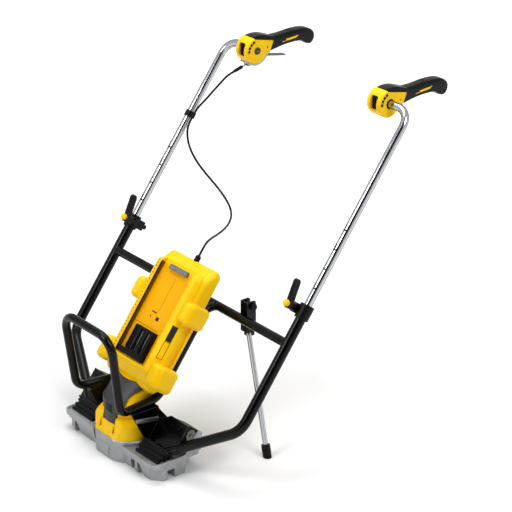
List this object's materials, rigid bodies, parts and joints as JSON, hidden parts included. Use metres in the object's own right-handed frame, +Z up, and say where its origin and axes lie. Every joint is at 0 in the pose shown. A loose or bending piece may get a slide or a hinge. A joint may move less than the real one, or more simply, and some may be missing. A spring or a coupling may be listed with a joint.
{
  "type": "vibrating screed",
  "caption": "Walk-behind concrete vibrating screed: eccentric exciter base on rubber mounts, leaning tube frame, battery housing, telescopic handlebars with pivoting grips, kickstand.",
  "frame": {"origin": "on the ground, on the exciter shaft's axis, in the plane of the base's sole", "axes": "+Z up, +Y towards the operator and back of the machine, +X to the machine's right seen by a viewer in front who looks along +Y"},
  "size_m": [0.6944, 0.8972, 0.8482],
  "materials": {
    "yellow_plastic": "satin moulded yellow",
    "black_plastic": "matt moulded black",
    "grey_plastic": "satin moulded dark grey",
    "light_plastic": "satin moulded light grey",
    "black_coat": "gloss black powder coat",
    "chrome": "bright chrome plate",
    "cast_aluminium": "as cast, light grey",
    "rubber": "matt black rubber",
    "steel": "zinc plated",
    "iron": "machined cast iron",
    "brass": "plain contact strip",
    "board": "circuit board laminate"
  },
  "bodies": {
    "frame": {"base_casting": "cast_aluminium", "exciter_cover": "yellow_plastic", "motor_housing": "yellow_plastic", "motor_shroud": "grey_plastic", "motor_stator": "steel", "exciter_bearings": "steel", "casing_screws": "steel", "isolator_bolts": "steel", "cross_tube": "black_coat", "cradle_tube": "black_coat", "battery_housing": "yellow_plastic", "rear_cover": "yellow_plastic", "terminal_block": "black_plastic", "terminal_contacts": "brass", "battery_catch": "light_plastic", "controller_board": "board", "cable_gland": "black_plastic", "clamp_bolts": "steel", "guide_bushes": "black_plastic", "lower_cable": "rubber", "kickstand_bracket": "black_coat", "kickstand_bolt": "steel", "left_side_tube": "black_coat", "left_saddle_bracket": "black_coat", "left_front_isolator": "rubber", "left_rear_isolator": "rubber", "left_lower_bumper": "yellow_plastic", "left_upper_bumper": "yellow_plastic", "left_clamp_collar": "black_plastic", "right_side_tube": "black_coat", "right_saddle_bracket": "black_coat", "right_front_isolator": "rubber", "right_rear_isolator": "rubber", "right_lower_bumper": "yellow_plastic", "right_upper_bumper": "yellow_plastic", "right_clamp_collar": "black_plastic"},
    "exciter": {"motor_rotor": "steel", "eccentric_weight": "iron"},
    "left_handlebar": {"left_handlebar_tube": "chrome", "cable_clip": "black_plastic", "upper_cable": "rubber"},
    "right_handlebar": {"right_handlebar_tube": "chrome"},
    "left_lever": {"left_clamp_lever": "black_plastic"},
    "right_lever": {"right_clamp_lever": "black_plastic"},
    "left_lever_button": {"left_clamp_button": "yellow_plastic"},
    "right_lever_button": {"right_clamp_button": "yellow_plastic"},
    "left_grip": {"left_grip_shell": "yellow_plastic", "left_grip_sleeve": "rubber", "trigger_bracket": "steel", "trigger_pin": "steel", "cable_boot": "rubber"},
    "right_grip": {"right_grip_shell": "yellow_plastic", "right_grip_sleeve": "rubber"},
    "left_grip_lock": {"left_grip_button": "grey_plastic"},
    "right_grip_lock": {"right_grip_button": "grey_plastic"},
    "trigger": {"trigger_lever": "light_plastic"},
    "kickstand": {"kickstand_head": "black_plastic", "kickstand_leg": "chrome", "kickstand_foot": "rubber"}
  },
  "joints": [
    {"name": "left_handlebar_slide", "type": "slide", "parent": "frame", "child": "left_handlebar", "axis": [0, 0.6088, 0.7934], "range_m": [-0.15, 0], "deforming": ["lower_cable"]},
    {"name": "left_lever_turn", "type": "hinge", "parent": "frame", "child": "left_lever", "pos_m": [-0.312, 0.234, 0.42001], "axis": [0, 0.7934, -0.6088], "range_deg": [0, 150]},
    {"name": "left_lever_button_press", "type": "slide", "parent": "left_lever", "child": "left_lever_button", "axis": [0, 0.7934, -0.6088], "range_m": [0, 0.003], "stiffness_N_per_m": 600, "springref_m": -0.002},
    {"name": "left_grip_pivot", "type": "hinge", "parent": "left_handlebar", "child": "left_grip", "pos_m": [-0.2405, 0.57253, 0.81191], "axis": [1, 0, 0], "range_deg": [-30, 30], "deforming": ["upper_cable"]},
    {"name": "left_grip_lock_press", "type": "slide", "parent": "left_grip", "child": "left_grip_lock", "axis": [-1, 0, 0], "range_m": [0, 0.0025], "stiffness_N_per_m": 600, "springref_m": -0.002},
    {"name": "right_handlebar_slide", "type": "slide", "parent": "frame", "child": "right_handlebar", "axis": [0, 0.6088, 0.7934], "range_m": [-0.15, 0]},
    {"name": "right_lever_turn", "type": "hinge", "parent": "frame", "child": "right_lever", "pos_m": [0.312, 0.234, 0.42001], "axis": [0, -0.7934, 0.6088], "range_deg": [0, 150]},
    {"name": "right_lever_button_press", "type": "slide", "parent": "right_lever", "child": "right_lever_button", "axis": [0, 0.7934, -0.6088], "range_m": [0, 0.003], "stiffness_N_per_m": 600, "springref_m": -0.002},
    {"name": "right_grip_pivot", "type": "hinge", "parent": "right_handlebar", "child": "right_grip", "pos_m": [0.2405, 0.57253, 0.81191], "axis": [1, 0, 0], "range_deg": [-30, 30]},
    {"name": "right_grip_lock_press", "type": "slide", "parent": "right_grip", "child": "right_grip_lock", "axis": [1, 0, 0], "range_m": [0, 0.0025], "stiffness_N_per_m": 600, "springref_m": -0.002},
    {"name": "trigger_squeeze", "type": "hinge", "parent": "left_grip", "child": "trigger", "pos_m": [-0.2405, 0.59453, 0.77891], "axis": [1, 0, 0], "range_deg": [0, 12], "stiffness_Nm_per_rad": 0.3, "springref_deg": -11.46},
    {"name": "kickstand_fold", "type": "hinge", "parent": "frame", "child": "kickstand", "pos_m": [0.16, 0.235, 0.362], "axis": [1, 0, 0], "range_deg": [0, 140]},
    {"name": "exciter_spin", "type": "hinge", "parent": "frame", "child": "exciter", "pos_m": [0, 0, 0.08], "axis": [0, 0, 1], "continuous": true}
  ]
}
